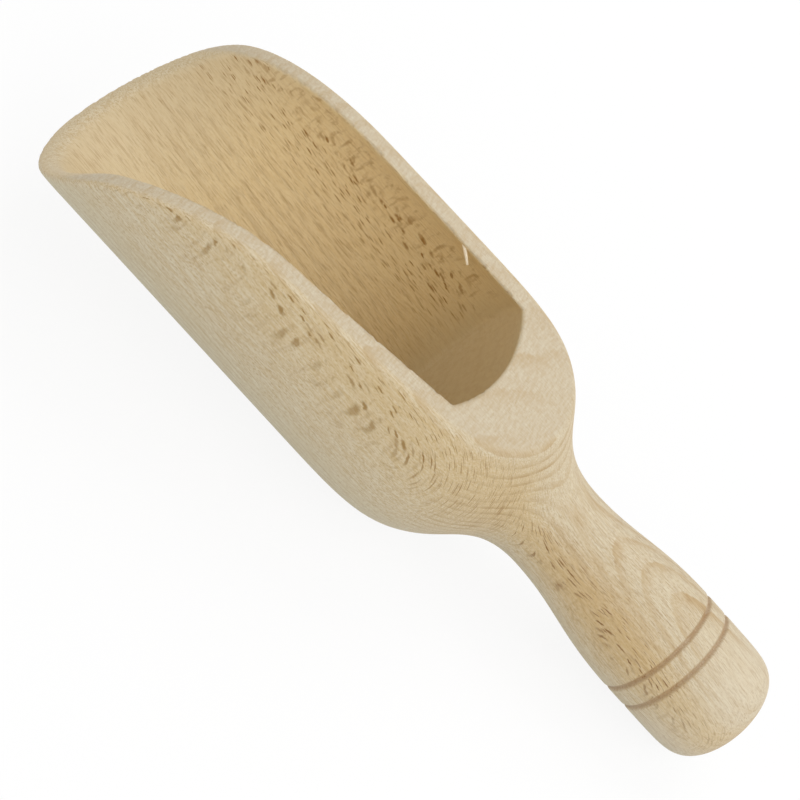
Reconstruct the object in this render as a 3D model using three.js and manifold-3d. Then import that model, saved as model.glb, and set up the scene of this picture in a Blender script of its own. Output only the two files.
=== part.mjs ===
// Flour scoop turned from one beech billet, in millimetres.
// The billet is turned outside, bored from the front, then cut open along a long slope
// that sweeps down to a rounded lip. It is drawn along +X from the lip to the handle's end,
// with +Z out of the bowl, and then tipped back to lie as it does on a table.

import * as THREE from 'three';
import { mergeVertices } from 'three/addons/utils/BufferGeometryUtils.js';
import Module from 'manifold-3d';

// Bowl and bore
const BOWL_RADIUS = 35.6;
const WALL = 5.2;
const BOWL_DEPTH = 110; // lip to the corner where the bore's wall meets its end
const BORE_CROWN = 11.4; // how far the bore's end is dished

// Turned outline behind the bowl: shoulder, neck and grip
const SHOULDER_LEAD = 14; // the outside starts to round off this far before the bore's end
const SHOULDER_LENGTH = 61.6; // start of the shoulder to the thinnest point of the neck
const SHOULDER_TURN_AT = 36.8; // start of the shoulder to where it turns from round to hollow
const SHOULDER_TURN_RADIUS = 27.7;
const SHOULDER_TURN_ANGLE = 38.2; // degrees to the axis
const NECK_RADIUS = 13.6;
const GRIP_RISE = 41; // neck to the thickest point of the grip
const GRIP_RADIUS = 17.6;
const GRIP_TAIL = 31.4; // thickest point to the end

// How far each curve runs on along its end directions, as shares of its own chord
const SHOULDER_PULLS = [0.52, 0.31];
const COVE_PULLS = [0.35, 0.51];
const RISE_PULLS = [0.38, 0.47];

// The handle's end is a superellipse: high powers keep it straight and square, low ones round it
const END_AXIAL_POWER = 9;
const END_RADIAL_POWER = 1.6;

// Two turned lines near the handle's end
const GROOVE_FROM_END = 25.7;
const GROOVE_PITCH = 6.6;
const GROOVE_COUNT = 2;
const GROOVE_WIDTH = 1.4;
const GROOVE_DEPTH = 0.9;

// Cut that opens the bowl: a straight slope that bends down to the lip
const CUT_ANGLE = 5.1; // degrees, rising towards the handle
const CUT_HEIGHT = 22.3; // above the axis, over the bore's end
const CUT_BEND_AT = 57.4; // lip to the front end of the straight slope
const LIP_DEPTH = 13.5; // lip to the knee of the curve, along the axis
const LIP_RISE = 32.1; // underside to the knee
const LIP_TIP_ANGLE = 56; // degrees to the axis
const LIP_KNEE_ANGLE = 57;
const LIP_PULLS = [0.13, 0.38];
const SWEEP_PULLS = [0.26, 0.37];

// Bell mouth that thins the lip on the inside
const LIP_EDGE = 1.6; // wall left where the bell mouth starts
const LIP_BELL = 8; // length of the bell mouth
const LIP_BELL_LEAD = 1.5; // it starts this far before the line from the lip's tip to the knee

// Facets and cutter overlaps
const ROUND_SIDES = 60;
const CURVE_STEPS = 9;
const OVERLAP = 6;

const BORE_RADIUS = BOWL_RADIUS - WALL;
const SHOULDER_AT = BOWL_DEPTH - SHOULDER_LEAD;
const NECK_AT = SHOULDER_AT + SHOULDER_LENGTH;
const GRIP_AT = NECK_AT + GRIP_RISE;
const LENGTH = GRIP_AT + GRIP_TAIL;

const wasm = await Module();
wasm.setup();

const rad = THREE.MathUtils.degToRad;

// A closed geometry as a solid for joining and cutting
function toSolid(geometry) {
  geometry.deleteAttribute('normal');
  geometry.deleteAttribute('uv');
  const merged = mergeVertices(geometry, 1e-4);
  const corners = merged.index.array;
  const triVerts = [];
  for (let i = 0; i < corners.length; i += 3) {
    const [a, b, c] = corners.slice(i, i + 3);
    if (a !== b && b !== c && c !== a) {
      triVerts.push(a, b, c);
    }
  }
  const mesh = new wasm.Mesh({
    numProp: 3,
    vertProperties: new Float32Array(merged.attributes.position.array),
    triVerts: new Uint32Array(triVerts),
  });
  return new wasm.Manifold(mesh);
}

function toGeometry(solid) {
  const { vertProperties, triVerts } = solid.getMesh();
  const geometry = new THREE.BufferGeometry();
  geometry.setAttribute('position', new THREE.BufferAttribute(vertProperties, 3));
  geometry.setIndex(new THREE.BufferAttribute(triVerts, 1));
  geometry.computeVertexNormals();
  return geometry;
}

// A profile of (radius, axial place) points turned about the X axis, with a flat facet underneath
function turned(points) {
  const geometry = new THREE.LatheGeometry(points, ROUND_SIDES, Math.PI / ROUND_SIDES);
  return geometry.rotateZ(-Math.PI / 2);
}

// A curve from the path's end to a point, leaving and arriving in given directions
function curveTo(path, to, leave, arrive, [pullOut, pullIn]) {
  const from = path.currentPoint.clone();
  const chord = from.distanceTo(to);
  const first = from.clone().addScaledVector(leave, pullOut * chord);
  const second = to.clone().addScaledVector(arrive, -pullIn * chord);
  path.bezierCurveTo(first.x, first.y, second.x, second.y, to.x, to.y);
}

function direction(degrees) {
  return new THREE.Vector2(Math.cos(rad(degrees)), Math.sin(rad(degrees)));
}

// Outside of the billet: (radius, axial place) from the front end to the handle's end
function outsideProfile() {
  const along = new THREE.Vector2(0, 1);
  const turn = new THREE.Vector2(-Math.sin(rad(SHOULDER_TURN_ANGLE)), Math.cos(rad(SHOULDER_TURN_ANGLE)));
  const turnPoint = new THREE.Vector2(SHOULDER_TURN_RADIUS, SHOULDER_AT + SHOULDER_TURN_AT);
  const path = new THREE.Path();
  path.moveTo(0, 0);
  path.lineTo(BOWL_RADIUS, 0);
  path.lineTo(BOWL_RADIUS, SHOULDER_AT);
  curveTo(path, turnPoint, along, turn, SHOULDER_PULLS);
  curveTo(path, new THREE.Vector2(NECK_RADIUS, NECK_AT), turn, along, COVE_PULLS);
  curveTo(path, new THREE.Vector2(GRIP_RADIUS, GRIP_AT), along, along, RISE_PULLS);
  const points = path.getPoints(CURVE_STEPS);
  for (let i = 1; i < CURVE_STEPS; i += 1) {
    const angle = (Math.PI / 2) * (i / CURVE_STEPS);
    const radius = GRIP_RADIUS * Math.cos(angle) ** (2 / END_RADIAL_POWER);
    points.push(new THREE.Vector2(radius, GRIP_AT + GRIP_TAIL * Math.sin(angle) ** (2 / END_AXIAL_POWER)));
  }
  points.push(new THREE.Vector2(0, LENGTH));
  return points;
}

function radiusAt(profile, place) {
  const i = profile.findIndex((point, n) => n > 1 && point.y >= place);
  const share = (place - profile[i - 1].y) / (profile[i].y - profile[i - 1].y);
  return THREE.MathUtils.lerp(profile[i - 1].x, profile[i].x, share);
}

// Bore with a shallow dished end
function bore() {
  const points = [new THREE.Vector2(0, -OVERLAP), new THREE.Vector2(BORE_RADIUS, -OVERLAP)];
  for (let i = 0; i <= CURVE_STEPS; i += 1) {
    const share = 1 - i / CURVE_STEPS;
    points.push(new THREE.Vector2(BORE_RADIUS * share, BOWL_DEPTH + BORE_CROWN * (1 - share ** 2)));
  }
  return turned(points);
}

// Bell mouth of the bore, sheared so that it follows the lip as the lip rises
function bellMouth() {
  const flare = WALL - LIP_EDGE;
  const points = [new THREE.Vector2(0, -OVERLAP), new THREE.Vector2(BORE_RADIUS + flare, -OVERLAP)];
  for (let i = 0; i <= CURVE_STEPS; i += 1) {
    const share = i / CURVE_STEPS;
    points.push(new THREE.Vector2(BORE_RADIUS + flare * (1 - share) ** 2, LIP_BELL * share));
  }
  points.push(new THREE.Vector2(0, LIP_BELL));
  const lean = LIP_DEPTH / LIP_RISE;
  const shear = new THREE.Matrix4().makeShear(0, 0, 0, 0, lean, 0);
  return turned(points).applyMatrix4(shear).translate(lean * BOWL_RADIUS - LIP_BELL_LEAD, 0, 0);
}

// Everything above the cut, drawn in side view and extruded across the bowl
function opening() {
  const slope = direction(CUT_ANGLE);
  const tip = new THREE.Vector2(0, -BOWL_RADIUS);
  const knee = new THREE.Vector2(LIP_DEPTH, LIP_RISE - BOWL_RADIUS);
  const cutAt = (x) => CUT_HEIGHT + (x - BOWL_DEPTH) * Math.tan(rad(CUT_ANGLE));
  const start = tip.clone().addScaledVector(direction(LIP_TIP_ANGLE), -OVERLAP);
  const shape = new THREE.Shape();
  shape.moveTo(start.x, start.y);
  shape.lineTo(tip.x, tip.y);
  curveTo(shape, knee, direction(LIP_TIP_ANGLE), direction(LIP_KNEE_ANGLE), LIP_PULLS);
  const bend = new THREE.Vector2(CUT_BEND_AT, cutAt(CUT_BEND_AT));
  curveTo(shape, bend, direction(LIP_KNEE_ANGLE), slope, SWEEP_PULLS);
  shape.lineTo(NECK_AT, cutAt(NECK_AT));
  shape.lineTo(NECK_AT, BOWL_RADIUS + OVERLAP);
  shape.lineTo(start.x, BOWL_RADIUS + OVERLAP);
  const width = 2 * (BOWL_RADIUS + OVERLAP);
  const options = { depth: width, bevelEnabled: false, curveSegments: 2 * CURVE_STEPS };
  return new THREE.ExtrudeGeometry(shape, options).rotateX(Math.PI / 2).translate(0, width / 2, 0);
}

// Ring of triangular section that cuts one turned line
function grooveRing(profile, place) {
  const radius = radiusAt(profile, place);
  const slope = GROOVE_WIDTH / 2 / GROOVE_DEPTH;
  const reach = GROOVE_DEPTH;
  const half = slope * (GROOVE_DEPTH + reach);
  return turned([
    new THREE.Vector2(radius - GROOVE_DEPTH, place),
    new THREE.Vector2(radius + reach, place - half),
    new THREE.Vector2(radius + reach, place + half),
    new THREE.Vector2(radius - GROOVE_DEPTH, place),
  ]);
}

// Angle at which the shoulder and the grip both touch the table
function restAngle(profile) {
  const bowlSide = profile.filter((point) => point.y <= NECK_AT);
  const gripSide = profile.filter((point) => point.y > NECK_AT);
  const lowest = (points, angle) => {
    const depth = (point) => point.x * Math.cos(angle) + point.y * Math.sin(angle);
    return points.reduce((best, point) => (depth(point) > depth(best) ? point : best));
  };
  let angle = 0;
  for (let step = 0; step < CURVE_STEPS; step += 1) {
    const bowl = lowest(bowlSide, angle);
    const grip = lowest(gripSide, angle);
    angle = Math.atan2(bowl.x - grip.x, grip.y - bowl.y);
  }
  return angle;
}

const profile = outsideProfile();
let scoopSolid = toSolid(turned(profile));
for (const cutter of [bore(), bellMouth(), opening()]) {
  scoopSolid = scoopSolid.subtract(toSolid(cutter));
}
for (let i = 0; i < GROOVE_COUNT; i += 1) {
  const place = LENGTH - GROOVE_FROM_END - i * GROOVE_PITCH;
  scoopSolid = scoopSolid.subtract(toSolid(grooveRing(profile, place)));
}

const beech = new THREE.MeshStandardMaterial({ color: 0xcfb48a, roughness: 0.62, metalness: 0 });
const scoop = new THREE.Mesh(toGeometry(scoopSolid), beech);
scoop.name = 'scoop';

// Tipped onto shoulder and grip, with the origin under the middle of its box
const lying = new THREE.Group();
lying.rotation.y = restAngle(profile);
lying.add(scoop);

const part = new THREE.Group();
part.add(lying);
const box = new THREE.Box3().setFromObject(part, true);
const middle = box.getCenter(new THREE.Vector3());
lying.position.set(-middle.x, -middle.y, -box.min.z);
part.updateMatrixWorld(true);

export default part;
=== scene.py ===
"""Flour scoop turned from one beech billet: its shape, its grain and the studio it is shown in."""

import math

import bpy
from bpy.props import FloatProperty, FloatVectorProperty, PointerProperty
from mathutils import Euler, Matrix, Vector


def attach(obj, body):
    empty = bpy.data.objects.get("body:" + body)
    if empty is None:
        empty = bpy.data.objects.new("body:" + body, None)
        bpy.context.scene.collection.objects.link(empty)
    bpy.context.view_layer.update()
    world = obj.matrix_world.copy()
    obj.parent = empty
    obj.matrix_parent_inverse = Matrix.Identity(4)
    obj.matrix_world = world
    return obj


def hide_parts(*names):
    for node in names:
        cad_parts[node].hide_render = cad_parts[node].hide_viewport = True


bl_info = {
    "name": "Beech Flour Scoop",
    "version": (1, 0, 0),
    "blender": (4, 5, 0),
    "location": "View3D > Sidebar > Scoop",
    "description": "Turns, bores and cuts a beech flour scoop, and sets up a plain studio for it",
    "category": "Object",
}

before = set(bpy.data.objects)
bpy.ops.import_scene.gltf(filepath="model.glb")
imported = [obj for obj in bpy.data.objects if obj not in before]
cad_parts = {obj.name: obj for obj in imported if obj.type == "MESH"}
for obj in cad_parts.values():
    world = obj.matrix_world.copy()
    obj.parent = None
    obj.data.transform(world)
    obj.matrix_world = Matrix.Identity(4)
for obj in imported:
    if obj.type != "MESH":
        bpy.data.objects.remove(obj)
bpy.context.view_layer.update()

MM = 0.001

# Curves of the outline and of the cut: their points, and how far each runs on along its end directions, as
# shares of its own chord
CURVE_STEPS = 14
SHOULDER_PULLS = (0.52, 0.31)
COVE_PULLS = (0.35, 0.51)
RISE_PULLS = (0.38, 0.47)
LIP_PULLS = (0.13, 0.38)
SWEEP_PULLS = (0.26, 0.37)

# The grid of distances that the surface is drawn on
GRID_ROOM = 2.5 * MM  # free room round the scoop
LINE_STRETCH = 2.5  # length that the grid gains for each length along the turned lines
CUT_STEP = 0.2 * MM  # step over which the cut's slope is taken
TIGHTENINGS = 2  # how often the skin is drawn tight
NUDGE = 0.04 * MM  # step over which the distance's slope is taken
LEAST_STEEP = 0.1  # least square of that slope

# Millimetres off the bored and the sawn surface at which a point belongs to it not at all and wholly
SURFACE_SHARES = (("Bored", 0.7, 0.1), ("Sawn", 0.25, 0.03))

# The billet's place in the tree, in millimetres
PITH_HEIGHT = 140.0  # from the scoop's axis up to the pith
GRAIN_SLANT = 0.085  # how far the grain goes across the scoop for each step along it
GRAIN_MIDDLE = 60.0  # place along the scoop where the slant has no effect
SLANT_HALVES = 1000.0  # square of the distance off the middle at which the slant is half as much

# The grain's slow sway: its waves in millimetres, and how far it goes along, round the pith and out from it
SWAY_WAVES = (70, 22, 22)
SWAY_REACH = (0.0, 1.6, 1.2)
NOISE_MIDDLE = (0.5, 0.5, 0.5)

# Growth rings
RING_WIDTH = 2.2  # millimetres to the year
RING_PHASE = 0.5  # where in a year the count starts
RING_LEAN = (-0.07, 0.12, 1.0)  # the way through the layers: along, across and down from the pith
RING_WAVER = 0.18  # how far their lines waver, in years
RING_LATE = (0.4, 0.94)  # where in a year the late wood starts and is darkest
RING_FAINT_YEAR = 0.6  # strength of the faintest year
RING_FAINT_PLACE = 0.4  # strength at the faintest place

# Rays, by layer: each stands in a cell, in millimetres along the grain, round the pith and out from it, with
# how slim it is for its cell and the chance below which a cell stays empty
RAY_LAYERS = {
    "short_rays": ((4.4, 0.25, 8.0), 1.05, 0.1),
    "long_rays": ((5.6, 0.26, 10.0), 1.3, 0.2),
}
RAY_SEED = 11.0
RAY_EDGES = (0.26, 0.5)  # reach of the smallest and of the largest ray, in cells
RAY_CORE = 0.15  # reach within which a ray has its full colour
RAY_DOUBT = 0.4  # chance over which rays go from faint to full
FRAY_WAVES = (1.1, 0.4, 1.1)  # waves of the frayed edges, in millimetres
FRAY_REACH = (1.2, 0.12, 2.0)  # how far the edges fray, in millimetres

# Noise in the grain, by name: its waves in millimetres along the grain, round the pith and out from it, its
# detail, and the noise at which it is nothing and full. Real fibres and pores are under 0.1 mm thick and too
# fine to show, so both are drawn coarser.
GRAIN_NOISE = {
    "fibre": ((6.0, 0.4, 0.4), 3.0, 0.33, 0.67),
    "streak": ((5.0, 0.45, 0.45), 2.0, 0.52, 0.7),
    "pore": ((0.9, 0.24, 0.24), 1.0, 0.5, 0.72),
    "smear": ((1.5, 0.6, 9.0), 3.0, 0.52, 0.72),
    "tone": ((60, 9, 9), 2.0, 0.0, 1.0),
    "waver": ((3.0, 0.8, 0.8), 1.0, 0.0, 1.0),
    "fade": ((16, 6, 6), 1.0, 0.35, 0.6),
}

# Ramps, by name: what they read, its value at either end, the share there, and the ease. "along" is
# millimetres from the lip, "facing" is 1 where the surface looks at the pith and 0 where it lies along the
# rays, "leaning" is the same without its sign, "end_on" is 1 where the surface looks out of the handle's end,
# and "bored" and "sawn" are what each point of the mesh knows.
RAMPS = {
    "past_lip": ("along", 6, 24, 0.3, 1, "LINEAR"),
    "front": ("along", 40, 6, 0, 1, "LINEAR"),
    "well_past_lip": ("along", 15, 80, 0.5, 1, "LINEAR"),
    "rear": ("along", 60, 120, 0, 1, "LINEAR"),
    "near_bore_end": ("along", 94, 116, 0, 1, "SMOOTHSTEP"),
    "fleckless": ("along", 98, 109, 0, 0.85, "LINEAR"),
    "on_rim": ("along", 116, 108, 0.92, 1, "LINEAR"),
    "behind": ("along", 105, 125, 0, 1, "LINEAR"),
    "land_end": ("along", 122, 130, 0, 0.75, "LINEAR"),
    "on_grip": ("along", 140, 165, 0, 1, "LINEAR"),
    "end": ("along", 200, 215, 0, 1, "LINEAR"),
    "before_end": ("along", 200, 215, 1, 0.4, "LINEAR"),
    "seen": ("facing", -0.19, 0.16, 0.05, 1, "SMOOTHSTEP"),
    "browned": ("facing", -0.4, 0.25, 0, 1, "SMOOTHSTEP"),
    "off_top": ("facing", 0.65, 0.4, 0, 1, "LINEAR"),
    "thin_on_top": ("facing", 0.35, 0.65, 1, 0.35, "LINEAR"),
    "upper": ("facing", 0.5, 0.9, 0, 1, "LINEAR"),
    "lower": ("facing", -0.35, -0.75, 0, 1, "LINEAR"),
    "flat_sawn": ("leaning", 0.3, 0.95, 0.15, 1, "LINEAR"),
    "along_rays": ("leaning", 0.35, 0.1, 0, 1, "SMOOTHSTEP"),
    "bore_end": ("end_on", -0.25, -0.6, 0, 1, "LINEAR"),
    "off_bore_end": ("end_on", -0.25, -0.6, 1, 0.1, "LINEAR"),
    "end_grain": ("end_on", 0.25, 0.7, 0, 1, "LINEAR"),
    "dust_free": ("sawn", 0, 1, 1, 0.1, "LINEAR"),
    "deep": ("bored", 0, 1, 0.4, 1, "LINEAR"),
}
RINGS_UNDER_DUST = 0.42  # how much of the rings shows on bored and sawn wood

# Fine sanding marks across the cut: waves in millimetres, and the noise at which they are nothing and full
SANDING_WAVES = (0.6, 2.4, 2.4)
SANDING_RANGE = (0.35, 0.65)

# The warm cloud on the grip's near side: its middle, its reach, and the share of that reach which is full
CLOUD_MIDDLE = (178, -16, 6)
CLOUD_REACH = (38, 15, 14)
CLOUD_CORE = 0.2

# Millimetres from the middle of a turned line to where its brown starts and is full
LINE_START = 1.2
LINE_FULL = 0.25

# Tints in the order in which they are laid on: how much, the masks that bound it, and the colour
TINTS = (
    (0.95, "fibre", "warm"),
    (0.25, "tone", "warm"),
    (0.7, "pore", "ring"),
    # Painted light: the bowl's inside is laid lighter as well as yellower, for the shade that falls in it.
    (0.53, "bored", "bored"),
    # The bore grows browner and darker towards its back.
    (0.25, "bored rear", "rear"),
    # Painted light, besides duller end grain: greys the wood near the bore's end against the shade in the
    # corner there.
    (0.35, "bored near_bore_end", "bore_end"),
    # Partly darker end grain, partly painted shade: the bore's end face is darkened for the shade that the
    # near wall casts on it.
    (0.14, "bored bore_end", "ring"),
    (0.22, "bored bore_end sanded", "ring"),
    (0.35, "bored front", "sawn"),
    (0.55, "bored front front", "warm"),
    (0.5, "sawn", "sawn"),
    (0.35, "sawn sanded", "ring"),
    (0.4, "end", "end"),
    # Painted sheen: the upper side is greyed and a little darkened, for the light from above.
    (0.2, "turned upper behind", "top_sheen"),
    # Painted light: the lower side is made paler and cooler, for the light bounced up from the floor.
    (0.3, "turned lower", "lower"),
    (0.27, "turned browned off_top well_past_lip", "browned"),
    (0.35, "cloud", "cloud"),
    (0.9, "ring flat_sawn clear before_end", "ring"),
    (0.3, "bored streak off_bore_end", "fleck"),
    (0.3, "on_grip streak", "fleck"),
    (0.55, "smear along_rays deep off_bore_end", "fleck"),
    (0.9, "short_rays seen thin_on_top dust_free off_bore_end before_end", "ray"),
    (0.7, "long_rays seen thin_on_top dust_free off_bore_end well_past_lip before_end", "ray"),
    (0.52, "line", "burnt"),
    # Painted light: the loose fibre is painted near white.
    (0.9, "torn", "torn"),
)

# Bare sanded wood: how it scatters light, and how far its fibres stand up
WOOD_IOR = 1.5
WOOD_ROUGHNESS = 0.6
FIBRE_BUMP = 0.25
FIBRE_HEIGHT = 0.1 * MM

# The loose fibre
FIBRE_SINK = 0.7  # how far its root sits under the rim, in thicknesses
FIBRE_ROOT = 0.6  # how far its root sits in the wall, in thicknesses
FIBRE_LEAN = 1 / 6  # how far it leans out of the wall for its run along it
FIBRE_BEND = (0.45, 0.35, 0.35)  # where it bends, as shares of its run, lean and drop
FIBRE_TAPER = 0.55  # thickness of its free end for that of its root
FIBRE_STEPS = 12
FIBRE_SIDES = 8

# The floor, in metres
FLOOR_HALF = 3.0  # half its side
FLOOR_WHITENS = (0.2, 0.7)  # how far out it starts to whiten and is plain white
FLOOR_GLOW = 0.88  # how much of it is plain white near the scoop
WHITE = (1, 1, 1, 1)

# Soft lamps round the scoop: name, compass angle from +X, height above the floor in degrees, watts
SOFTBOXES = (
    ("softbox_right", 0, 45, 2.35),
    ("softbox_back", 90, 55, 3.0),
    ("softbox_front_left", -135, 20, 1.75),
    ("softbox_front_right", -45, 35, 1.8),
)
SOFTBOX_SIDE = 0.7  # metres
SOFTBOX_REACH = 1.0  # metres from the scoop
AMBIENT = 0.51  # strength of the light from all around

# The camera of the photograph, in millimetres, metres and degrees
LENS = 109.98
SENSOR = 36
CAMERA_PLACE = (-0.046786, -0.436233, 0.466594)
CAMERA_TURN = (35.14456, -29.76889, 29.91068)

# Places of the colour sockets of a Mix node, whose names are also those of other sockets
MIX_A = 6
MIX_B = 7
MIX_RESULT = 2


def linear(code):
    """An sRGB hex colour as linear red, green and blue."""
    parts = [int(code[i:i + 2], 16) / 255 for i in (1, 3, 5)]
    return [p / 12.92 if p <= 0.04045 else ((p + 0.055) / 1.055) ** 2.4 for p in parts]


def length(name, millimetres, description):
    """A size that a user may change, shown in the scene's own length unit."""
    return FloatProperty(name=name, description=description, default=millimetres * MM,
                         unit="LENGTH", precision=5)


def angle(name, degrees, description):
    """An angle that a user may change."""
    return FloatProperty(name=name, description=description, default=math.radians(degrees),
                         subtype="ANGLE", unit="ROTATION")


def colour(name, code, description):
    """A colour that a user may change."""
    return FloatVectorProperty(name=name, description=description, default=linear(code),
                               subtype="COLOR", size=3, min=0, max=1)


class ScoopSizes(bpy.types.PropertyGroup):
    """Sizes of the scoop, along its own axis from the lip to the handle's end."""

    bowl_radius: length("Bowl radius", 35.55, "Outside of the bowl")
    bore_radius: length("Bore radius", 30.4, "Inside of the bowl")
    bowl_depth: length("Bowl depth", 110, "Lip to the corner where the bore's wall meets its end")
    bore_crown: length("Bore crown", 11.4, "How far the bore's end is dished")
    bore_corner: length("Bore corner", 1.4, "Reach of the round between the bore's wall and its end")
    shoulder_at: length("Shoulder at", 96, "Lip to where the outside starts to round off")
    shoulder_turn_at: length("Shoulder turn at", 132.8,
                             "Lip to where the shoulder turns from round to hollow")
    shoulder_turn_radius: length("Shoulder turn radius", 27.7, "Radius at that turn")
    shoulder_turn_angle: angle("Shoulder turn angle", 38.2, "Slope at that turn, to the axis")
    neck_at: length("Neck at", 157.6, "Lip to the thinnest point of the neck")
    neck_radius: length("Neck radius", 13.6, "Radius of the neck")
    grip_at: length("Grip at", 198.6, "Lip to the thickest point of the grip")
    grip_radius: length("Grip radius", 17.6, "Radius of the grip")
    grip_tail: length("Grip tail", 31.4, "Thickest point of the grip to the handle's end")
    end_axial_power: FloatProperty(name="End axial power", default=9,
                                   description="Higher values keep the grip straight for longer")
    end_radial_power: FloatProperty(name="End radial power", default=1.6,
                                    description="Lower values make the end more pointed")
    groove_middle: length("Groove middle", 201.5, "Lip to halfway between the two turned lines")
    groove_pitch: length("Groove pitch", 6.9, "From one turned line to the next")
    groove_width: length("Groove width", 2.1, "Width of a turned line")
    groove_depth: length("Groove depth", 0.6, "Depth of a turned line")
    cut_angle: angle("Cut angle", 5.1, "Slope of the straight cut, rising towards the handle")
    cut_height: length("Cut height", 22.26, "Height of the cut above the axis, over the bore's end")
    cut_bend_at: length("Cut bend at", 57.4, "Lip to the front end of the straight cut")
    tip_at: length("Tip at", -1.08,
                   "Where the cut meets the underside, before its edge is rounded back to the lip")
    knee_at: length("Knee at", 13.5, "Lip to the knee of the cut's curve")
    knee_rise: length("Knee rise", 32.1, "Underside to the knee")
    tip_angle: angle("Tip angle", 56, "Slope of the cut at the lip's tip")
    knee_angle: angle("Knee angle", 57, "Slope of the cut at the knee")
    rim_outside: length("Rim outside", 2.4, "Reach of the round on the rim's outer edge")
    rim_inside: length("Rim inside", 1.2, "Reach of the round on the rim's inner edge")
    lip_inside: length("Lip inside", 8.5, "Reach of the round on the inside of the lip")
    lip_from: length("Lip from", 5, "The lip's round is full up to here")
    lip_to: length("Lip to", 17, "The lip's round has gone over to the rim's here")
    fibre_at: length("Loose fibre at", 88.0,
                     "Lip to where a loose fibre leaves the inner edge of the far rim")
    fibre_reach: length("Loose fibre reach", 4.7, "How far the loose fibre runs along the bowl")
    fibre_drop: length("Loose fibre drop", 2.6, "How far it hangs down")
    fibre_thickness: length("Loose fibre thickness", 1.15, "Its thickness at the root")
    grid_step: length("Grid step", 0.85, "Spacing of the grid that the surface is drawn on")
    lying_angle: angle("Lying angle", 9.5512, "How far the scoop tips back on the table")
    lip_x: length("Lip x", -110.643, "Where the bowl's axis meets the plane of the lip, along the table")
    lip_z: length("Lip z", 53.518, "Where the bowl's axis meets the plane of the lip, above the table")


class BeechColours(bpy.types.PropertyGroup):
    """Colours of the wood, some with painted light and shade in them, and of the floor under it."""

    pale: colour("Pale wood", "#e0d3b6", "Early growth between the rings")
    warm: colour("Warm wood", "#cfb88e", "Streaks along the grain")
    ring: colour("Ring line", "#b79868", "Late growth at the end of each year")
    # Tints the bore browner and darker towards its back.
    rear: colour("Back of the bore", "#c4a558", "Browner wood at the back of the bowl")
    # Painted light, besides duller end grain: near the bore's end the wood is greyed and kept from darkening,
    # against the shade that gathers where the bore's wall meets its end.
    bore_end: colour("End of the bore", "#c8c4b0", "Duller end grain at the bottom of the bore")
    browned: colour("Ray side", "#d0ab62", "Turned wood where many rays come to the surface")
    cloud: colour("Warm cloud", "#c49c5c", "A warmer place on the grip")
    fleck: colour("Ray fleck", "#936623", "Broad rays where the surface cuts them")
    outer_fleck: colour("Outer fleck", "#977232", "Rays on the outside of the bowl, more golden")
    grip_fleck: colour("Grip fleck", "#7c4f0c", "Rays on the grip, darker from handling")
    # Painted light: the inside of the bowl is made lighter as well as yellower, to make up for the shade
    # inside it.
    bored: colour("Bored wood", "#f4dca6", "Inside of the bowl, fresh and yellower")
    sawn: colour("Sawn wood", "#c8c0ae", "Rim and flat land, greyer from fine sanding")
    end: colour("Handle end", "#e2d3b8", "End of the grip, where the fibres are cut across")
    # Painted sheen: the upper side of the shoulder and grip is greyed as by a whitish sheen from the light
    # above, and a little darkened.
    top_sheen: colour("Top of the grip", "#c4c2b6", "Upper side of shoulder and grip, a little greyer")
    # Painted light: the side that looks down is made paler and cooler, for the cool light that the floor
    # throws up.
    lower: colour("Lower side", "#dcd8b8", "Turned wood that looks away from the pith, a little paler")
    # Painted light: the loose fibre is painted near white, for light that shines through the thin sliver and
    # to lift its shaded side.
    torn: colour("Loose fibre", "#fff2d6", "Thin torn wood that light shines through")
    burnt: colour("Turned line", "#8f6538", "The two lines, browned by rubbing")
    floor: colour("Floor", "#d4dce8", "Pale floor, as the light that it throws back")


def add(tree, kind, inputs=(), out=0, **settings):
    """Adds a node, sets it, feeds its inputs by place or by name, and returns one of its outputs."""
    node = tree.nodes.new(kind)
    for name, value in settings.items():
        setattr(node, name, value)
    for key, value in inputs.items() if isinstance(inputs, dict) else enumerate(inputs):
        if isinstance(value, bpy.types.NodeSocket):
            tree.links.new(value, node.inputs[key])
        elif value is not None:
            node.inputs[key].default_value = value
    return node.outputs[out] if node.outputs else node


def size_labels():
    """Name and label of each size, in order."""
    return [(p.identifier, p.name) for p in ScoopSizes.bl_rna.properties
            if p.identifier in ScoopSizes.__annotations__]


def size_sockets():
    """A socket for every size."""
    return {label: "Float" for _, label in size_labels()}


def share_sizes(given):
    """Every size of one tree, ready to hand to a tree inside it."""
    return {label: given[label] for _, label in size_labels()}


def open_tree(name, inputs, results):
    """A new tree with the given sockets, and its two ends."""
    tree = bpy.data.node_groups.new(name, "GeometryNodeTree")
    for side, sockets in (("INPUT", inputs), ("OUTPUT", results)):
        for label, kind in sockets.items():
            tree.interface.new_socket(label, in_out=side, socket_type="NodeSocket" + kind)
    given = tree.nodes.new("NodeGroupInput").outputs
    handed = tree.nodes.new("NodeGroupOutput").inputs
    return tree, given, handed


def bend(start, end, leave, arrive, pulls):
    """Points of a curve from start to end that leaves and arrives at given angles, without its first."""
    start, end = Vector(start), Vector(end)
    chord = (end - start).length
    first = start + Vector((math.cos(leave), math.sin(leave))) * chord * pulls[0]
    second = end - Vector((math.cos(arrive), math.sin(arrive))) * chord * pulls[1]
    points = []
    for i in range(1, CURVE_STEPS + 1):
        t = i / CURVE_STEPS
        s = 1 - t
        points.append(start * s ** 3 + first * 3 * s * s * t + second * 3 * s * t * t + end * t ** 3)
    return points


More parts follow.
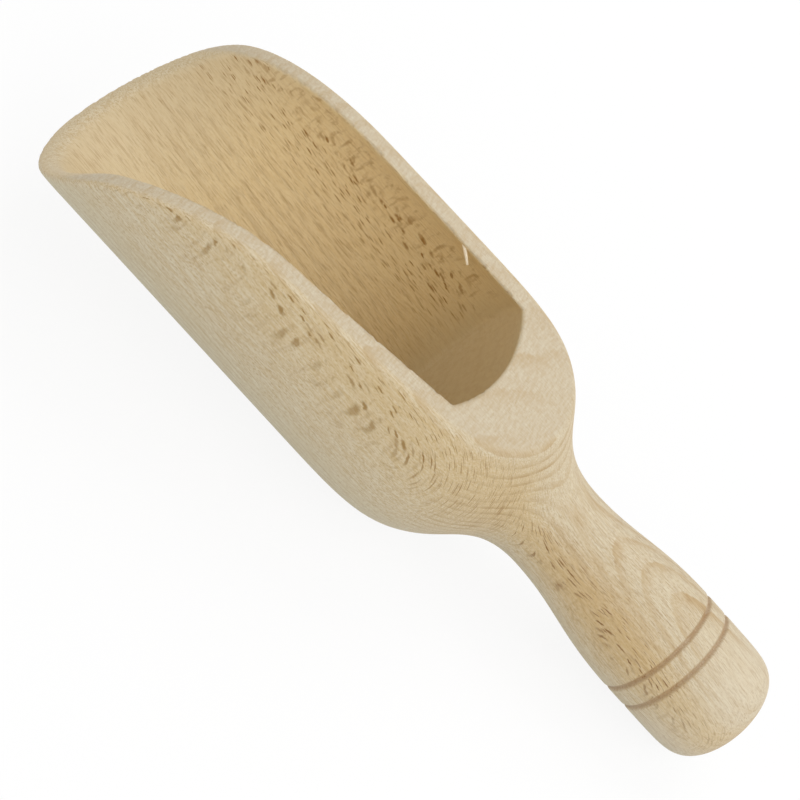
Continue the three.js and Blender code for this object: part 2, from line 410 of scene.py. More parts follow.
def outline(sizes):
    """(place, radius) along the outside from the shoulder's start to the thickest point of the grip."""
    start = Vector((sizes.shoulder_at, sizes.bowl_radius))
    turn = (sizes.shoulder_turn_at, sizes.shoulder_turn_radius)
    neck = (sizes.neck_at, sizes.neck_radius)
    grip = (sizes.grip_at, sizes.grip_radius)
    slope = -sizes.shoulder_turn_angle
    return [start, *bend(start, turn, 0, slope, SHOULDER_PULLS), *bend(turn, neck, slope, 0, COVE_PULLS),
            *bend(neck, grip, 0, 0, RISE_PULLS)]


def cut_line(sizes):
    """(place, height) along the cut from the lip's tip to the front end of the straight slope."""
    tip = Vector((sizes.tip_at, -sizes.bowl_radius))
    knee = (sizes.knee_at, sizes.knee_rise - sizes.bowl_radius)
    straight = sizes.cut_height + (sizes.cut_bend_at - sizes.bowl_depth) * math.tan(sizes.cut_angle)
    return [tip, *bend(tip, knee, sizes.tip_angle, sizes.knee_angle, LIP_PULLS),
            *bend(knee, (sizes.cut_bend_at, straight), sizes.knee_angle, sizes.cut_angle, SWEEP_PULLS)]


def draw_line(curve, points):
    """Draws a float curve through points brought to the unit square, and gives their lowest and highest."""
    low, high = (Vector(map(pick, *points)) for pick in (min, max))
    mapping = curve.node.mapping
    for i, point in enumerate(points):
        place = [(point[n] - low[n]) / (high[n] - low[n]) for n in (0, 1)]
        if i < 2:
            mapping.curves[0].points[i].location = place
        else:
            mapping.curves[0].points.new(*place)
    mapping.update()
    return low, high


def off_line(tree, along, middle, half_pitch):
    """Distance along the axis from the nearer turned line, by folding one onto the other."""
    for fold in (middle, half_pitch):
        along = add(tree, "ShaderNodeMath", (along, fold), operation="SUBTRACT")
        along = add(tree, "ShaderNodeMath", (along,), operation="ABSOLUTE")
    return along


def cut_height_tree(sizes):
    """Height of the cut above the axis at a place along it."""
    tree, given, handed = open_tree("Cut height", {"Place": "Float", **size_sockets()}, {"Height": "Float"})
    place = given["Place"]
    share = add(tree, "ShaderNodeMapRange", {"Value": place, "From Min": given["Tip at"],
                                             "From Max": given["Cut bend at"]})
    curve = add(tree, "ShaderNodeFloatCurve", {"Value": share})
    low, high = draw_line(curve, cut_line(sizes))
    height = add(tree, "ShaderNodeMapRange", {"Value": curve, "To Min": low.y, "To Max": high.y})
    past_bend = add(tree, "ShaderNodeMath", (place, given["Cut bend at"]), operation="SUBTRACT")
    past_bend = add(tree, "ShaderNodeMath", (past_bend, 0), operation="MAXIMUM")
    slope = add(tree, "ShaderNodeMath", (given["Cut angle"],), operation="TANGENT")
    height = add(tree, "ShaderNodeMath", (past_bend, slope, height), operation="MULTIPLY_ADD")
    before_tip = add(tree, "ShaderNodeMath", (place, given["Tip at"]), operation="SUBTRACT")
    before_tip = add(tree, "ShaderNodeMath", (before_tip, 0), operation="MINIMUM")
    steep = add(tree, "ShaderNodeMath", (given["Tip angle"],), operation="TANGENT")
    height = add(tree, "ShaderNodeMath", (before_tip, steep, height), operation="MULTIPLY_ADD")
    tree.links.new(height, handed["Height"])
    return tree


def distance_tree(sizes):
    """How far a point is outside the finished wood, and outside the bored and the sawn surface alone."""
    tree, given, handed = open_tree("Scoop distance", {"Position": "Vector", **size_sockets()},
                                    {"Distance": "Float", "Bored": "Float", "Sawn": "Float"})
    parts = add(tree, "ShaderNodeSeparateXYZ", (given["Position"],)).node.outputs
    along, across, up = parts
    spoke = add(tree, "ShaderNodeCombineXYZ", (0.0, across, up))
    from_axis = add(tree, "ShaderNodeVectorMath", (spoke,), out="Value", operation="LENGTH")

    # Turned outside, with a superellipse for the handle's end
    behind = add(tree, "ShaderNodeMapRange", {"Value": along, "From Min": given["Shoulder at"],
                                              "From Max": given["Grip at"]})
    curve = add(tree, "ShaderNodeFloatCurve", {"Value": behind})
    low, high = draw_line(curve, outline(sizes))
    radius = add(tree, "ShaderNodeMapRange", {"Value": curve, "To Min": low.y, "To Max": high.y})
    tail = add(tree, "ShaderNodeMath", (along, given["Grip at"]), operation="SUBTRACT")
    tail = add(tree, "ShaderNodeMath", (tail, given["Grip tail"]), operation="DIVIDE")
    tail = add(tree, "ShaderNodeMath", (tail, 0), operation="MAXIMUM")
    tail = add(tree, "ShaderNodeMath", (tail, given["End axial power"]), operation="POWER")
    spread = add(tree, "ShaderNodeMath", (from_axis, radius), operation="DIVIDE")
    spread = add(tree, "ShaderNodeMath", (spread, given["End radial power"]), operation="POWER")
    spread = add(tree, "ShaderNodeMath", (spread, tail), operation="ADD")
    root = add(tree, "ShaderNodeMath", (1.0, given["End radial power"]), operation="DIVIDE")
    spread = add(tree, "ShaderNodeMath", (spread, root), operation="POWER")
    spread = add(tree, "ShaderNodeMath", (spread, 1.0), operation="SUBTRACT")
    outside = add(tree, "ShaderNodeMath", (spread, radius), operation="MULTIPLY")

    # Two turned lines
    half_pitch = add(tree, "ShaderNodeMath", (given["Groove pitch"], 0.5), operation="MULTIPLY")
    half_width = add(tree, "ShaderNodeMath", (given["Groove width"], 0.5), operation="MULTIPLY")
    off = off_line(tree, along, given["Groove middle"], half_pitch)
    groove = add(tree, "ShaderNodeMapRange",
                 {"Value": off, "From Min": half_width, "From Max": 0.0, "To Max": given["Groove depth"]},
                 interpolation_type="SMOOTHSTEP")
    outside = add(tree, "ShaderNodeMath", (outside, groove), operation="ADD")

    # Bore with a dished end
    wall = add(tree, "ShaderNodeMath", (from_axis, given["Bore radius"]), operation="SUBTRACT")
    dish = add(tree, "ShaderNodeMath", (from_axis, given["Bore radius"]), operation="DIVIDE")
    dish = add(tree, "ShaderNodeMath", (dish, 2.0), operation="POWER")
    dish = add(tree, "ShaderNodeMath", (1.0, dish), operation="SUBTRACT")
    end = add(tree, "ShaderNodeMath", (dish, given["Bore crown"], given["Bowl depth"]),
              operation="MULTIPLY_ADD")
    end = add(tree, "ShaderNodeMath", (along, end), operation="SUBTRACT")
    hollow = add(tree, "ShaderNodeMath", (wall, end, given["Bore corner"]), operation="SMOOTH_MAX")
    hollow = add(tree, "ShaderNodeMath", (hollow, -1.0), operation="MULTIPLY")

    # Everything above the cut is gone, measured square to the cut's own slope
    cut_tree = cut_height_tree(sizes)
    ahead = add(tree, "ShaderNodeMath", (along, CUT_STEP), operation="ADD")
    height, height_ahead = (
        add(tree, "GeometryNodeGroup", {"Place": place, **share_sizes(given)}, node_tree=cut_tree)
        for place in (along, ahead))
    climb = add(tree, "ShaderNodeMath", (height_ahead, height), operation="SUBTRACT")
    climb = add(tree, "ShaderNodeCombineXYZ", (climb, CUT_STEP, 0.0))
    climb = add(tree, "ShaderNodeVectorMath", (climb,), out="Value", operation="LENGTH")
    lean = add(tree, "ShaderNodeMath", (CUT_STEP, climb), operation="DIVIDE")
    above = add(tree, "ShaderNodeMath", (up, height), operation="SUBTRACT")
    above = add(tree, "ShaderNodeMath", (above, lean), operation="MULTIPLY")

    # The rim's edges are rounded, and the inside of the lip much more
    inside_round = add(tree, "ShaderNodeMapRange",
                       {"Value": along, "From Min": given["Lip from"], "From Max": given["Lip to"],
                        "To Min": given["Lip inside"], "To Max": given["Rim inside"]},
                       interpolation_type="SMOOTHSTEP")
    wood = add(tree, "ShaderNodeMath", (outside, above, given["Rim outside"]), operation="SMOOTH_MAX")
    wood = add(tree, "ShaderNodeMath", (wood, hollow, inside_round), operation="SMOOTH_MAX")
    for result, label in ((wood, "Distance"), (hollow, "Bored"), (above, "Sawn")):
        tree.links.new(result, handed[label])
    return tree


def lay_down(tree, given, shape):
    """Lays a shape on the table as the scoop lies, and gives it its finish."""
    place = add(tree, "ShaderNodeCombineXYZ", (given["Lip x"], 0.0, given["Lip z"]))
    turn = add(tree, "ShaderNodeCombineXYZ", (0.0, given["Lying angle"], 0.0))
    shape = add(tree, "GeometryNodeTransform", {"Geometry": shape, "Translation": place, "Rotation": turn})
    shape = add(tree, "GeometryNodeRealizeInstances", {"Geometry": shape})
    return add(tree, "GeometryNodeSetMaterial", {"Geometry": shape, "Material": given["Finish"]})


def scoop_tree(sizes):
    """The scoop's surface: a grid of distances, a skin where they are nothing, and that skin drawn tight."""
    tree, given, handed = open_tree("Turned scoop", {"Finish": "Material", **size_sockets()},
                                    {"Geometry": "Geometry"})
    distance = distance_tree(sizes)
    everything = share_sizes(given)

    # The grid is stretched along the two turned lines, so that it is fine enough there
    half = sizes.groove_pitch / 2 + sizes.groove_width
    window = (sizes.groove_middle - half, sizes.groove_middle + half)
    extra = LINE_STRETCH * (window[1] - window[0])
    position = add(tree, "GeometryNodeInputPosition")
    parts = add(tree, "ShaderNodeSeparateXYZ", (position,)).node.outputs
    surplus = add(tree, "ShaderNodeMapRange", {"Value": parts[0], "From Min": window[0],
                                               "From Max": window[1] + extra, "To Max": extra})
    along = add(tree, "ShaderNodeMath", (parts[0], surplus), operation="SUBTRACT")
    unstretched = add(tree, "ShaderNodeCombineXYZ", (along, parts[1], parts[2]))

    far = add(tree, "GeometryNodeGroup", {"Position": unstretched, **everything}, node_tree=distance)
    layers = add(tree, "ShaderNodeMath", (far, given["Grid step"]), operation="DIVIDE")
    density = add(tree, "ShaderNodeMath", (1.0, layers), operation="SUBTRACT")
    reach = sizes.bowl_radius + GRID_ROOM
    low = Vector((-GRID_ROOM, -reach, -reach))
    high = Vector((sizes.grip_at + sizes.grip_tail + extra + GRID_ROOM, reach, sizes.bowl_radius))
    cells = [math.ceil(side / sizes.grid_step) for side in high - low]
    grid = add(tree, "GeometryNodeVolumeCube",
               {"Density": density, "Background": 0.0, "Min": low, "Max": high,
                "Resolution X": cells[0], "Resolution Y": cells[1], "Resolution Z": cells[2]})
    skin = add(tree, "GeometryNodeVolumeToMesh", {"Volume": grid, "Threshold": 1.0},
               resolution_mode="GRID")
    skin = add(tree, "GeometryNodeSetPosition", {"Geometry": skin, "Position": unstretched})

    # Each point of the skin moves down the slope of the distance until it lies on the wood
    for _ in range(TIGHTENINGS):
        here = add(tree, "GeometryNodeInputPosition")
        far = add(tree, "GeometryNodeGroup", {"Position": here, **everything}, node_tree=distance)
        slopes = []
        for axis in range(3):
            offset = [NUDGE if n == axis else 0.0 for n in range(3)]
            beside = add(tree, "ShaderNodeVectorMath", (here, offset), operation="ADD")
            beside = add(tree, "GeometryNodeGroup", {"Position": beside, **everything}, node_tree=distance)
            rise = add(tree, "ShaderNodeMath", (beside, far), operation="SUBTRACT")
            slopes.append(add(tree, "ShaderNodeMath", (rise, NUDGE), operation="DIVIDE"))
        slope = add(tree, "ShaderNodeCombineXYZ", slopes)
        steep = add(tree, "ShaderNodeVectorMath", (slope, slope), out="Value", operation="DOT_PRODUCT")
        steep = add(tree, "ShaderNodeMath", (steep, LEAST_STEEP), operation="MAXIMUM")
        back = add(tree, "ShaderNodeMath", (far, steep), operation="DIVIDE")
        back = add(tree, "ShaderNodeMath", (back, -1.0), operation="MULTIPLY")
        move = add(tree, "ShaderNodeVectorMath", {"Vector": slope, "Scale": back}, operation="SCALE")
        skin = add(tree, "GeometryNodeSetPosition", {"Geometry": skin, "Offset": move})

    # Each point knows how far it belongs to the bored and to the sawn surface
    here = add(tree, "GeometryNodeInputPosition")
    far = add(tree, "GeometryNodeGroup", {"Position": here, **everything}, node_tree=distance).node.outputs
    for label, none_at, all_at in SURFACE_SHARES:
        off = add(tree, "ShaderNodeMath", (far[label],), operation="ABSOLUTE")
        share = add(tree, "ShaderNodeMapRange",
                    {"Value": off, "From Min": none_at * MM, "From Max": all_at * MM})
        skin = add(tree, "GeometryNodeStoreNamedAttribute",
                   {"Geometry": skin, "Name": label.lower(), "Value": share},
                   data_type="FLOAT", domain="POINT")

    skin = add(tree, "GeometryNodeSetShadeSmooth", {"Geometry": skin})
    tree.links.new(lay_down(tree, given, skin), handed["Geometry"])
    return tree


def loose_fibre_tree():
    """A thin sliver of wood along a bent path, thinner towards its free end."""
    tree, given, handed = open_tree(
        "Loose fibre", {"Start": "Vector", "Bend": "Vector", "End": "Vector", "Thickness": "Float",
                        "Lying angle": "Float", "Lip x": "Float", "Lip z": "Float", "Finish": "Material"},
        {"Geometry": "Geometry"})
    path = add(tree, "GeometryNodeCurveQuadraticBezier",
               {"Resolution": FIBRE_STEPS, "Start": given["Start"], "Middle": given["Bend"],
                "End": given["End"]})
    way = add(tree, "GeometryNodeSplineParameter")
    taper = add(tree, "ShaderNodeMapRange", {"Value": way, "To Min": 1.0, "To Max": FIBRE_TAPER})
    radius = add(tree, "ShaderNodeMath", (given["Thickness"], 0.5), operation="MULTIPLY")
    section = add(tree, "GeometryNodeCurvePrimitiveCircle", {"Resolution": FIBRE_SIDES, "Radius": radius})
    sliver = add(tree, "GeometryNodeCurveToMesh",
                 {"Curve": path, "Profile Curve": section, "Scale": taper, "Fill Caps": True})
    sliver = add(tree, "GeometryNodeStoreNamedAttribute", {"Geometry": sliver, "Name": "torn", "Value": 1.0},
                 data_type="FLOAT", domain="POINT")
    tree.links.new(lay_down(tree, given, sliver), handed["Geometry"])
    return tree


def grow(name, tree, values):
    """Runs a tree on an empty mesh and keeps what it makes as a plain mesh object at the origin."""
    seed = bpy.data.objects.new(name, bpy.data.meshes.new(name))
    bpy.context.scene.collection.objects.link(seed)
    modifier = seed.modifiers.new(name, "NODES")
    modifier.node_group = tree
    for item in tree.interface.items_tree:
        if item.in_out == "INPUT" and item.name in values:
            modifier[item.identifier] = values[item.name]
    bpy.context.view_layer.update()
    shape = bpy.data.meshes.new_from_object(seed.evaluated_get(bpy.context.evaluated_depsgraph_get()))
    if not shape.polygons:
        raise RuntimeError(f"{name} came out empty")
    seed.modifiers.clear()
    seed.data = shape
    shape.name = name
    return seed


def emptied(holder):
    """The node tree of a material or a world, with nothing in it yet."""
    holder.use_nodes = True
    holder.node_tree.nodes.clear()
    return holder.node_tree


def seen_outright(tree):
    """1 for a ray from the camera, a reflection or glass, and 0 for one that gathers light."""
    path = add(tree, "ShaderNodeLightPath").node.outputs
    seen = path["Is Camera Ray"]
    for kind in ("Is Glossy Ray", "Is Transmission Ray"):
        seen = add(tree, "ShaderNodeMath", (seen, path[kind]), operation="MAXIMUM")
    return seen


def beech(sizes, colours):
    """Sanded beech, unvarnished: pale and matt, with soft ring lines and short brown ray flecks.

    It is a solid pattern in millimetres, in the frame of the turned billet. The grain runs along the axis,
    and the pith lay above the bowl, so the rings are shallow layers and the rays thin plates that are long
    out from the pith.
    """
    material = bpy.data.materials.new("beech_sanded")
    tree = emptied(material)
    given = add(tree, "ShaderNodeTexCoord").node.outputs
    billet = add(tree, "ShaderNodeMapping",
                 {"Vector": given["Object"], "Location": (sizes.lip_x, 0, sizes.lip_z),
                  "Rotation": (0, sizes.lying_angle, 0), "Scale": (MM, MM, MM)}, vector_type="TEXTURE")
    normal = add(tree, "ShaderNodeMapping",
                 {"Vector": given["Normal"], "Rotation": (0, -sizes.lying_angle, 0)}, vector_type="VECTOR")
    along, across, up = add(tree, "ShaderNodeSeparateXYZ", (billet,)).node.outputs

    # Grain frame: along the grain, round the pith and out from the pith, with a slow sway
    off_middle = add(tree, "ShaderNodeMath", (along, GRAIN_MIDDLE), operation="SUBTRACT")
    slant = add(tree, "ShaderNodeMath", (across, across), operation="MULTIPLY")
    slant = add(tree, "ShaderNodeMapRange", {"Value": slant, "From Max": SLANT_HALVES, "To Min": GRAIN_SLANT,
                                             "To Max": GRAIN_SLANT / 2})
    across = add(tree, "ShaderNodeMath", (off_middle, slant, across), operation="MULTIPLY_ADD")
    depth = add(tree, "ShaderNodeMath", (PITH_HEIGHT, up), operation="SUBTRACT")
    turn = add(tree, "ShaderNodeMath", (across, depth), operation="ARCTAN2")
    turn = add(tree, "ShaderNodeMath", (turn, PITH_HEIGHT), operation="MULTIPLY")
    back_across = add(tree, "ShaderNodeMath", (across, -1.0), operation="MULTIPLY")
    to_pith = add(tree, "ShaderNodeCombineXYZ", (0.0, back_across, depth))
    out = add(tree, "ShaderNodeVectorMath", (to_pith,), out="Value", operation="LENGTH")
    straight = add(tree, "ShaderNodeCombineXYZ", (along, turn, out))
    slow = add(tree, "ShaderNodeVectorMath", (billet, SWAY_WAVES), operation="DIVIDE")
    sway = add(tree, "ShaderNodeTexNoise", {"Vector": slow, "Scale": 1.0, "Detail": 1.0}, out="Color")
    sway = add(tree, "ShaderNodeVectorMath", (sway, NOISE_MIDDLE), operation="SUBTRACT")
    sway = add(tree, "ShaderNodeVectorMath", (sway, SWAY_REACH), operation="MULTIPLY")
    grain = add(tree, "ShaderNodeVectorMath", (straight, sway), operation="ADD")

    # Masks: the surfaces that the mesh tells apart, the ramps, and the noise in the grain
    to_pith = add(tree, "ShaderNodeVectorMath", (to_pith,), operation="NORMALIZE")
    facing = add(tree, "ShaderNodeVectorMath", (normal, to_pith), out="Value", operation="DOT_PRODUCT")
    leaning = add(tree, "ShaderNodeMath", (facing,), operation="ABSOLUTE")
    end_on = add(tree, "ShaderNodeSeparateXYZ", (normal,))
    masks = {name: add(tree, "ShaderNodeAttribute", out="Fac", attribute_name=name)
             for name in ("bored", "sawn", "torn")}
    sources = {"along": along, "facing": facing, "leaning": leaning, "end_on": end_on, **masks}
    for name, (source, first, last, at_first, at_last, ease) in RAMPS.items():
        masks[name] = add(tree, "ShaderNodeMapRange",
                          {"Value": sources[source], "From Min": first, "From Max": last,
                           "To Min": at_first, "To Max": at_last}, interpolation_type=ease)
    for name, (waves, detail, none_at, all_at) in GRAIN_NOISE.items():
        spot = add(tree, "ShaderNodeVectorMath", (grain, waves), operation="DIVIDE")
        noise = add(tree, "ShaderNodeTexNoise", {"Vector": spot, "Scale": 1.0, "Detail": detail})
        masks[name] = add(tree, "ShaderNodeMapRange",
                          {"Value": noise, "From Min": none_at, "From Max": all_at})
    masks["flat_sawn"] = add(tree, "ShaderNodeMath", (masks["flat_sawn"], masks["end_grain"]),
                             operation="MAXIMUM")

    # Rays: lens-shaped plates with frayed edges, some left out
    fray = add(tree, "ShaderNodeVectorMath", (grain, FRAY_WAVES), operation="DIVIDE")
    fray = add(tree, "ShaderNodeTexNoise", {"Vector": fray, "Scale": 1.0, "Detail": 1.0}, out="Color")
    fray = add(tree, "ShaderNodeVectorMath", (fray, NOISE_MIDDLE), operation="SUBTRACT")
    fray = add(tree, "ShaderNodeVectorMath", (fray, FRAY_REACH, grain), operation="MULTIPLY_ADD")
    for name, (cell, slim, empty) in RAY_LAYERS.items():
        spot = add(tree, "ShaderNodeVectorMath", (fray, [1 / side for side in cell], [RAY_SEED] * 3),
                   operation="MULTIPLY_ADD")
        cells = add(tree, "ShaderNodeTexVoronoi", {"Vector": spot, "Scale": 1.0}).node.outputs
        away = add(tree, "ShaderNodeVectorMath", (spot, cells["Position"]), operation="SUBTRACT")
        away = add(tree, "ShaderNodeVectorMath", (away, (1.0, slim, 1.0)), operation="MULTIPLY")
        away = add(tree, "ShaderNodeVectorMath", (away,), out="Value", operation="LENGTH")
        chance, size, _ = add(tree, "ShaderNodeSeparateXYZ", (cells["Color"],)).node.outputs
        edge = add(tree, "ShaderNodeMapRange",
                   {"Value": size, "To Min": RAY_EDGES[0], "To Max": RAY_EDGES[1]})
        lens = add(tree, "ShaderNodeMapRange", {"Value": away, "From Min": edge, "From Max": RAY_CORE},
                   interpolation_type="SMOOTHSTEP")
        chosen = add(tree, "ShaderNodeMapRange", {"Value": chance, "From Min": empty,
                                                  "From Max": empty + RAY_DOUBT})
        masks[name] = add(tree, "ShaderNodeMath", (lens, chosen), operation="MULTIPLY")

    # Rings: each year darkens slowly and ends at a line, some years and places more than others
    layers = add(tree, "ShaderNodeCombineXYZ", (along, across, depth))
    layers = add(tree, "ShaderNodeVectorMath", (layers, sway), operation="ADD")
    layers = add(tree, "ShaderNodeVectorMath", (layers, RING_LEAN), out="Value", operation="DOT_PRODUCT")
    years = add(tree, "ShaderNodeMath", (layers, 1 / RING_WIDTH, RING_PHASE), operation="MULTIPLY_ADD")
    years = add(tree, "ShaderNodeMath", (masks["waver"], RING_WAVER, years), operation="MULTIPLY_ADD")
    year = add(tree, "ShaderNodeMath", (years,), operation="FRACT")
    late = add(tree, "ShaderNodeMapRange",
               {"Value": year, "From Min": RING_LATE[0], "From Max": RING_LATE[1]},
               interpolation_type="SMOOTHSTEP")
    early = add(tree, "ShaderNodeMapRange", {"Value": year, "From Min": 1.0, "From Max": RING_LATE[1]})
    ring = add(tree, "ShaderNodeMath", (late, early), operation="MULTIPLY")
    number = add(tree, "ShaderNodeMath", (years,), operation="FLOOR")
    number = add(tree, "ShaderNodeTexWhiteNoise", {"W": number}, noise_dimensions="1D")
    number = add(tree, "ShaderNodeMapRange", {"Value": number, "To Min": RING_FAINT_YEAR})
    place = add(tree, "ShaderNodeMapRange", {"Value": masks["fade"], "To Min": RING_FAINT_PLACE})
    for share in (number, place, masks["past_lip"]):
        ring = add(tree, "ShaderNodeMath", (ring, share), operation="MULTIPLY")
    masks["ring"] = ring

    # The two turned lines, browned by rubbing
    off = off_line(tree, along, sizes.groove_middle / MM, sizes.groove_pitch / 2 / MM)
    masks["line"] = add(tree, "ShaderNodeMapRange",
                        {"Value": off, "From Min": LINE_START, "From Max": LINE_FULL},
                        interpolation_type="SMOOTHSTEP")

    # Sanding marks, and a warmer cloud on the grip
    sanded = add(tree, "ShaderNodeVectorMath", (billet, SANDING_WAVES), operation="DIVIDE")
    sanded = add(tree, "ShaderNodeTexNoise", {"Vector": sanded, "Scale": 1.0, "Detail": 2.0})
    masks["sanded"] = add(tree, "ShaderNodeMapRange", {"Value": sanded, "From Min": SANDING_RANGE[0],
                                                       "From Max": SANDING_RANGE[1]})
    cloud = add(tree, "ShaderNodeVectorMath", (billet, CLOUD_MIDDLE), operation="SUBTRACT")
    cloud = add(tree, "ShaderNodeVectorMath", (cloud, CLOUD_REACH), operation="DIVIDE")
    cloud = add(tree, "ShaderNodeVectorMath", (cloud,), out="Value", operation="LENGTH")
    masks["cloud"] = add(tree, "ShaderNodeMapRange",
                         {"Value": cloud, "From Min": 1.0, "From Max": CLOUD_CORE},
                         interpolation_type="SMOOTHSTEP")

    # Rings show less under the dust on bored and sawn wood, and least where the land runs out
    opened = add(tree, "ShaderNodeMath", (masks["bored"], masks["sawn"]), operation="MAXIMUM")
    masks["turned"] = add(tree, "ShaderNodeMath", (1.0, opened), operation="SUBTRACT")
    dust = add(tree, "ShaderNodeMath", (opened, masks["on_rim"]), operation="MULTIPLY")
    clear = add(tree, "ShaderNodeMapRange", {"Value": dust, "To Min": 1.0, "To Max": RINGS_UNDER_DUST})
    land_end = add(tree, "ShaderNodeMath", (masks["land_end"], masks["sawn"]), operation="MULTIPLY")
    land_end = add(tree, "ShaderNodeMath", (1.0, land_end), operation="SUBTRACT")
    masks["clear"] = add(tree, "ShaderNodeMath", (clear, land_end), operation="MULTIPLY")

    # Flecks and streaks thin out towards the bore's end
    flecked = add(tree, "ShaderNodeMath", (masks["fleckless"], masks["bored"]), operation="MULTIPLY")
    flecked = add(tree, "ShaderNodeMath", (1.0, flecked), operation="SUBTRACT")
    masks["off_bore_end"] = add(tree, "ShaderNodeMath", (masks["off_bore_end"], flecked),
                                operation="MULTIPLY")

    # Rays are more golden on the outside of the bowl and darker on the grip
    on_bowl = add(tree, "ShaderNodeMath", (1.0, masks["behind"]), operation="SUBTRACT")
    on_bowl = add(tree, "ShaderNodeMath", (on_bowl, masks["turned"]), operation="MULTIPLY")
    ray = (*colours.fleck, 1)
    for share, tint in ((on_bowl, colours.outer_fleck), (masks["on_grip"], colours.grip_fleck)):
        ray = add(tree, "ShaderNodeMix", {"Factor": share, MIX_A: ray, MIX_B: (*tint, 1)}, out=MIX_RESULT,
                  data_type="RGBA")

    wood = (*colours.pale, 1)
    for amount, bounds, name in TINTS:
        share = amount
        for bound in bounds.split():
            share = add(tree, "ShaderNodeMath", (share, masks[bound]), operation="MULTIPLY")
        tint = ray if name == "ray" else (*getattr(colours, name), 1)
        wood = add(tree, "ShaderNodeMix", {"Factor": share, MIX_A: wood, MIX_B: tint}, out=MIX_RESULT,
                   data_type="RGBA")

    bump = add(tree, "ShaderNodeBump",
               {"Height": masks["fibre"], "Strength": FIBRE_BUMP, "Distance": FIBRE_HEIGHT})
    shader = add(tree, "ShaderNodeBsdfPrincipled",
                 {"Base Color": wood, "Roughness": WOOD_ROUGHNESS, "IOR": WOOD_IOR, "Normal": bump})
    add(tree, "ShaderNodeOutputMaterial", {"Surface": shader})
    return material


class SCOOP_OT_turn(bpy.types.Operator):
    """Turn, bore and cut the scoop from one billet"""

    bl_idname = "scoop.turn"
    bl_label = "Turn Scoop"

    def execute(self, context):
        sizes = context.scene.scoop_sizes
        values = {label: getattr(sizes, name) for name, label in size_labels()}
        values["Finish"] = beech(sizes, context.scene.scoop_colours)
        scoop = grow("beech_scoop", scoop_tree(sizes), values)
        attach(scoop, "root")
        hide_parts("scoop")
        return {"FINISHED"}


class SCOOP_OT_tear(bpy.types.Operator):
    """Tear a loose fibre off the inner edge of the far rim"""

    bl_idname = "scoop.tear"
    bl_label = "Tear Loose Fibre"

    def execute(self, context):
        sizes = context.scene.scoop_sizes
        height = sizes.cut_height + (sizes.fibre_at - sizes.bowl_depth) * math.tan(sizes.cut_angle)
        height -= sizes.fibre_thickness * FIBRE_SINK
        edge = Vector((sizes.fibre_at, math.sqrt(sizes.bore_radius ** 2 - height ** 2), height))
        hang = Vector((sizes.fibre_reach, -sizes.fibre_reach * FIBRE_LEAN, -sizes.fibre_drop))
        values = {"Start": edge + Vector((0.0, sizes.fibre_thickness * FIBRE_ROOT, 0.0)),
                  "Bend": edge + hang * Vector(FIBRE_BEND),
                  "End": edge + hang, "Thickness": sizes.fibre_thickness, "Lying angle": sizes.lying_angle,
                  "Lip x": sizes.lip_x, "Lip z": sizes.lip_z, "Finish": bpy.data.materials["beech_sanded"]}
        fibre = grow("loose_fibre", loose_fibre_tree(), values)
        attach(fibre, "root")
        return {"FINISHED"}


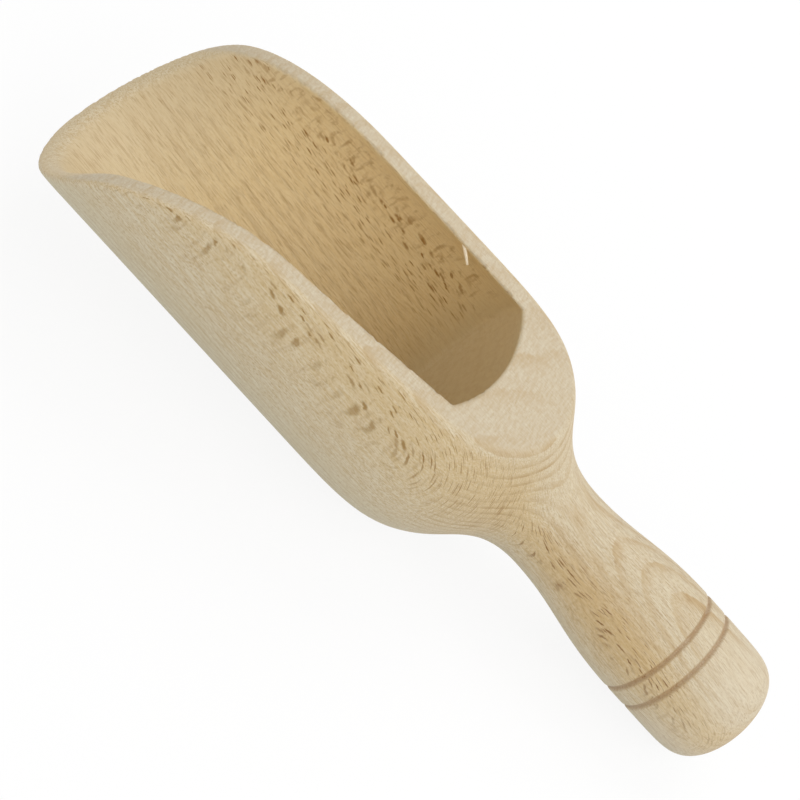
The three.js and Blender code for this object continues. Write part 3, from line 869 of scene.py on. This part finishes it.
class SCOOP_OT_studio(bpy.types.Operator):
    """Set up the floor, the soft lights and the camera"""

    bl_idname = "scoop.studio"
    bl_label = "Set Up Studio"

    def execute(self, context):
        scene = context.scene
        scene.view_settings.view_transform = "Standard"

        floor_mesh = bpy.data.meshes.new("floor")
        corners = ((-1, -1), (1, -1), (1, 1), (-1, 1))
        floor_mesh.from_pydata([(x * FLOOR_HALF, y * FLOOR_HALF, 0) for x, y in corners], [], [(0, 1, 2, 3)])
        floor = bpy.data.objects.new("floor", floor_mesh)
        scene.collection.objects.link(floor)

        # Matt white paper: it shows as plain white all over, with a faint shadow where the scoop stands
        paper = bpy.data.materials.new("white_paper")
        tree = emptied(paper)
        glow = add(tree, "ShaderNodeEmission", {"Color": WHITE, "Strength": 1.0})
        seen = seen_outright(tree)
        pale = (*scene.scoop_colours.floor, 1)
        shade = add(tree, "ShaderNodeMix", {"Factor": seen, MIX_A: pale, MIX_B: WHITE}, out=MIX_RESULT,
                    data_type="RGBA")
        matt = add(tree, "ShaderNodeBsdfDiffuse", {"Color": shade})
        spot = add(tree, "ShaderNodeTexCoord", out="Object")
        away = add(tree, "ShaderNodeVectorMath", (spot,), out="Value", operation="LENGTH")
        blank = add(tree, "ShaderNodeMapRange", {"Value": away, "From Min": FLOOR_WHITENS[0],
                                                 "From Max": FLOOR_WHITENS[1], "To Min": FLOOR_GLOW})
        seen = add(tree, "ShaderNodeMath", (seen, blank), operation="MULTIPLY")
        mixed = add(tree, "ShaderNodeMixShader", (seen, matt, glow))
        add(tree, "ShaderNodeOutputMaterial", {"Surface": mixed})
        floor_mesh.materials.append(paper)

        world = bpy.data.worlds.new("studio")
        scene.world = world
        tree = emptied(world)
        strength = add(tree, "ShaderNodeMapRange", {"Value": seen_outright(tree), "To Min": AMBIENT})
        sky = add(tree, "ShaderNodeBackground", {"Color": WHITE, "Strength": strength})
        add(tree, "ShaderNodeOutputWorld", {"Surface": sky})

        for name, azimuth, elevation, power in SOFTBOXES:
            lamp = bpy.data.lights.new(name, "AREA")
            lamp.energy = power
            lamp.size = SOFTBOX_SIDE
            softbox = bpy.data.objects.new(name, lamp)
            turn = Euler((0, -math.radians(elevation), math.radians(azimuth)))
            softbox.location = turn.to_matrix() @ Vector((SOFTBOX_REACH, 0, 0))
            softbox.rotation_euler = softbox.location.to_track_quat("Z", "Y").to_euler()
            scene.collection.objects.link(softbox)

        lens = bpy.data.cameras.new("camera")
        lens.lens = LENS
        lens.sensor_width = SENSOR
        camera = bpy.data.objects.new("camera", lens)
        camera.location = CAMERA_PLACE
        camera.rotation_euler = [math.radians(degrees) for degrees in CAMERA_TURN]
        scene.collection.objects.link(camera)
        scene.camera = camera
        return {"FINISHED"}


class SCOOP_PT_panel(bpy.types.Panel):
    """Sizes, colours and steps of the scoop"""

    bl_idname = "SCOOP_PT_panel"
    bl_label = "Flour Scoop"
    bl_space_type = "VIEW_3D"
    bl_region_type = "UI"
    bl_category = "Scoop"

    def draw(self, context):
        layout = self.layout
        for group in (context.scene.scoop_sizes, context.scene.scoop_colours):
            for name in group.__annotations__:
                layout.prop(group, name)
        for operator in (SCOOP_OT_turn, SCOOP_OT_tear, SCOOP_OT_studio):
            layout.operator(operator.bl_idname)


CLASSES = (ScoopSizes, BeechColours, SCOOP_OT_turn, SCOOP_OT_tear, SCOOP_OT_studio, SCOOP_PT_panel)


def register():
    for cls in CLASSES:
        bpy.utils.register_class(cls)
    bpy.types.Scene.scoop_sizes = PointerProperty(type=ScoopSizes)
    bpy.types.Scene.scoop_colours = PointerProperty(type=BeechColours)


def unregister():
    del bpy.types.Scene.scoop_colours
    del bpy.types.Scene.scoop_sizes
    for cls in reversed(CLASSES):
        bpy.utils.unregister_class(cls)


def main():
    register()
    bpy.ops.scoop.turn()
    bpy.ops.scoop.tear()
    bpy.ops.scoop.studio()


if __name__ == "__main__":
    main()
